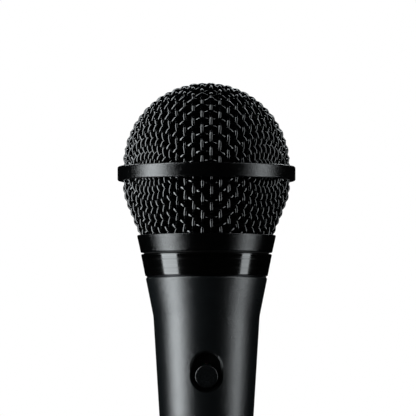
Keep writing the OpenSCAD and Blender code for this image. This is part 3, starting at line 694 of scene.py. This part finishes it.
# grille wires: nets of equal cells on a ball, laid over the dome and down the cup
net = {"pitch": 2.64, "wire": 1.00, "lift": 0.44, "middle": 24.15, "span": 98.0, "domeZ": 137.0, "beltZ": 132.5,
       "beltReach": 0.9, "shoulderZ": 131.0, "shoulder": 13.0, "footZ": 115.4, "footGap": 0.1,
       "halfWeave": 0.88, "footLean": 1.08, "samples": 8, "shortest": 4, "sides": 2, "smooth": 80.0}
domeNet = {"shift": 0.27, "phase": 0, "turn": 0.0, "ease": 0.045}
cupNet = {"shift": 0.77, "phase": 1, "turn": 0.4, "ease": 0.0625}
reachCount = math.ceil(math.radians(net["span"]) * net["middle"] / net["pitch"]) + 1


def spanNet(first):  # knots on a unit ball, in one quarter, from the pole outwards
    step = net["pitch"] / net["middle"]
    across = [0.0] + [(k + 0.5) * step for k in range(reachCount)]
    down = [0.0] + [(k + first) * step for k in range(reachCount)]
    grid = [[Vector((0.0, math.sin(v), math.cos(v))) for v in down]]
    for u in across[1:]:
        row = [Vector((math.sin(u), 0.0, math.cos(u)))]
        for j in range(reachCount):  # each new knot is the opposite corner of its cell
            middle = (row[j] + grid[-1][j + 1]).normalized()
            back = grid[-1][j]
            row.append(middle * (2 * back.dot(middle)) - back)
        grid.append(row)
    return grid


def polar(q):
    return math.acos(max(-1.0, min(1.0, q.z)))


def flatOut(q):
    return Vector((q.x, q.y, 0.0)).normalized()


def eased(q, ease):  # pressing draws the rows straighter between the main wires
    sideways = math.sin(2 * math.atan2(q.y, q.x))
    angle = polar(q) * (1 - ease * (q.xy.length * sideways) ** 2)
    return flatOut(q) * math.sin(angle) + Vector((0, 0, math.cos(angle)))


def netWires(weave):  # wires as knots with their side: over is 1, under is -1
    front, rear = spanNet(weave["shift"]), spanNet(1.0 - weave["shift"])
    turn = math.radians(weave["turn"])

    def knot(column, row):
        right, near = column >= 0, row >= 0
        quarter = front if near else rear
        q = quarter[column + 1 if right else -column][row + 1 if near else -row]
        q = eased(Vector((q.x if right else -q.x, -q.y if near else q.y, q.z)), weave["ease"])
        x = q.x * math.cos(turn) - q.y * math.sin(turn)
        return Vector((x, q.x * math.sin(turn) + q.y * math.cos(turn), q.z))

    def side(column, row):
        return -1 if (column + row + weave["phase"]) % 2 == 0 else 1

    spread = range(-reachCount, reachCount)
    wires = [[(knot(column, row), side(column, row)) for row in spread] for column in spread]
    wires += [[(knot(column, row), -side(column, row)) for column in spread] for row in spread]
    return wires


def domeAt(q, lift):
    over = polar(q) - math.pi / 2
    if over <= 0:
        return Vector((0, 0, net["domeZ"])) + q * (net["middle"] + lift)
    return flatOut(q) * (net["middle"] + lift) + Vector((0, 0, net["domeZ"] - net["middle"] * over))


cupFoot = lipRadius - net["footGap"] - net["halfWeave"] * net["footLean"]
cupCentre = Vector((net["middle"] - net["shoulder"], net["shoulderZ"]))
footFrom = Vector((cupFoot, collar["high"])) - cupCentre
cupAngle = -math.atan2(footFrom.y, footFrom.x) - math.acos(net["shoulder"] / footFrom.length)
cupArc = net["shoulder"] * cupAngle


def onShoulder(radius, angle):  # radius and height on the round below the belt
    return cupCentre.x + radius * math.cos(angle), cupCentre.y - radius * math.sin(angle)


arcEnd = Vector(onShoulder(net["shoulder"], cupAngle))


def cupAt(q, lift):
    s = net["middle"] * (math.pi / 2 - polar(q)) - (net["beltZ"] - net["shoulderZ"])
    if s <= 0:
        radius, z, a = net["middle"], net["shoulderZ"] - s, 0.0
    elif s <= cupArc:
        a = s / net["shoulder"]
        radius, z = onShoulder(net["shoulder"], a)
    else:
        a = cupAngle
        radius, z = arcEnd.x - (s - cupArc) * math.sin(a), arcEnd.y - (s - cupArc) * math.cos(a)
    return flatOut(q) * (radius + lift * math.cos(a)) + Vector((0, 0, z - lift * math.sin(a)))


def wireRuns(place, zone, wires):  # cuts each wire to the zone and gives its points
    runs = []
    for knots in wires:
        run = []
        for (qa, sa), (qb, sb) in zip(knots, knots[1:]):
            for k in range(net["samples"]):
                t = k / net["samples"]
                q = (qa * (1 - t) + qb * t).normalized()
                if zone[0] < polar(q) < zone[1]:
                    run.append(place(q, sa * net["lift"] * math.cos(math.pi * t)))
                elif run:
                    runs.append(run)
                    run = []
        if run:
            runs.append(run)
    return [run for run in runs if len(run) >= net["shortest"]]


def weaveWires(name, place, low, weave):  # from a lowest polar angle to just inside the belt
    zone = (low, math.pi / 2 + net["beltReach"] / net["middle"])
    return drawTubes(name, wireRuns(place, zone, netWires(weave)), net["wire"], net["sides"])


footLength = net["beltZ"] - net["shoulderZ"] + cupArc + (arcEnd.y - net["footZ"]) / math.cos(cupAngle)
domeWires = weaveWires("domeWires", domeAt, -1.0, domeNet)  # below 0, so the pole is in
settle(domeWires, finishes["wirePaint"], "grille", ["grille_dome"], angle=net["smooth"], even=False)
cupWires = weaveWires("cupWires", cupAt, math.pi / 2 - footLength / net["middle"], cupNet)
settle(cupWires, finishes["wirePaint"], "grille", ["grille_cup"], angle=net["smooth"], even=False)

# foam liner behind the wires
foam = {"gap": 0.98, "wall": 2.0, "foot": 115.05, "domeStep": 6, "cupRows": 8, "steps": 96, "smooth": 60.0}


def foamLine(gap):
    radius = net["middle"] - gap
    turns = [math.radians(a) for a in range(0, 91, foam["domeStep"])]
    line = [(radius * math.sin(a), net["domeZ"] + radius * math.cos(a)) for a in turns]
    for k in range(foam["cupRows"] + 1):
        line.append(onShoulder(net["shoulder"] - gap, cupAngle * k / foam["cupRows"]))
    x, z = line[-1]
    line.append((x - (z - foam["foot"]) * math.tan(cupAngle), foam["foot"]))
    return line


points = foamLine(foam["gap"]) + foamLine(foam["gap"] + foam["wall"])[::-1]
foamLiner = turnProfile("foamLiner", points, foam["steps"])
settle(foamLiner, foamFinish, "grille", ["foam_liner"], angle=foam["smooth"])

# finishes for the nodes that keep their own shape
nodeFinishes = {
    "socket_insert": "pocketPlastic", "contact_pin_1": "contactGold", "contact_pin_2": "contactGold",
    "contact_pin_3": "contactGold", "insert_screw": "brightSteel", "switch_plate": "pocketPlastic",
    "plate_wedge": "pocketPlastic", "switch_case": "brightSteel", "switch_board": "greenBoard",
    "switch_terminals": "tinnedCopper", "connector_leads": "redLead", "switch_lever": "leverPlastic",
    "contact_wiper": "copperMetal", "rear_chamber": "chamberShell", "terminal_board": "brownBoard",
    "capsule_tags": "contactGold", "capsule_cup": "capsulePlastic", "yoke": "brightSteel",
    "magnet": "magnetMetal", "pole_piece": "brightSteel", "diaphragm_clamp": "contactGold",
    "front_cap": "capsulePlastic", "front_cloth": "frontCloth", "diaphragm": "coneFilm",
    "voice_coil": "copperMetal",
}
for nodeName, finishName in nodeFinishes.items():
    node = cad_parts[nodeName]
    node.data.materials.clear()
    node.data.materials.append(finishes[finishName])
print("nodes finished:", len(nodeFinishes))

# pale floor, which the two strips leave unlit so that their feet draw no line on it
floorLook = {"radius": 3.0, "sides": 96, "dark": (0.80, 0.80, 0.79), "light": (0.84, 0.84, 0.83),
             "rough": (0.75, 0.9), "fine": 400.0, "coarse": 6.0, "depth": 1e-5}
clearSelection()
bpy.ops.mesh.primitive_circle_add(vertices=floorLook["sides"], radius=floorLook["radius"], fill_type="NGON",
                                  location=(0, 0, 0))
floor = bpy.context.object
floor.name = "paleFloor"
floor.data.materials.append(makeFinish("paleFloor", floorLook))
ground = bpy.data.collections.new("ground")
ground.objects.link(floor)
ground.collection_objects[0].light_linking.link_state = "EXCLUDE"
for lampName in lamps:
    bpy.data.objects[lampName].light_linking.receiver_collection = ground

# dark card round the set that only reflections see
card = {"radius": 0.5, "height": 0.9, "lift": 0.0005, "sides": 96, "dark": (0.002, 0.002, 0.002),
        "light": (0.003, 0.003, 0.003), "rough": (0.9, 1.0), "fine": 200.0, "coarse": 10.0, "depth": 1e-5,
        "specular": 0.0}
clearSelection()
bpy.ops.mesh.primitive_cylinder_add(vertices=card["sides"], radius=card["radius"], depth=card["height"],
                                    end_fill_type="TRIFAN", location=(0, 0, card["height"] / 2 + card["lift"]))
darkCard = bpy.context.object
darkCard.name = "darkCard"
applyPlace()
darkCard.data.materials.append(makeFinish("darkCard", card))
darkCard.visible_camera = False
darkCard.visible_diffuse = False
darkCard.visible_transmission = False
darkCard.visible_shadow = False
print("floor and card set")

clearSelection()
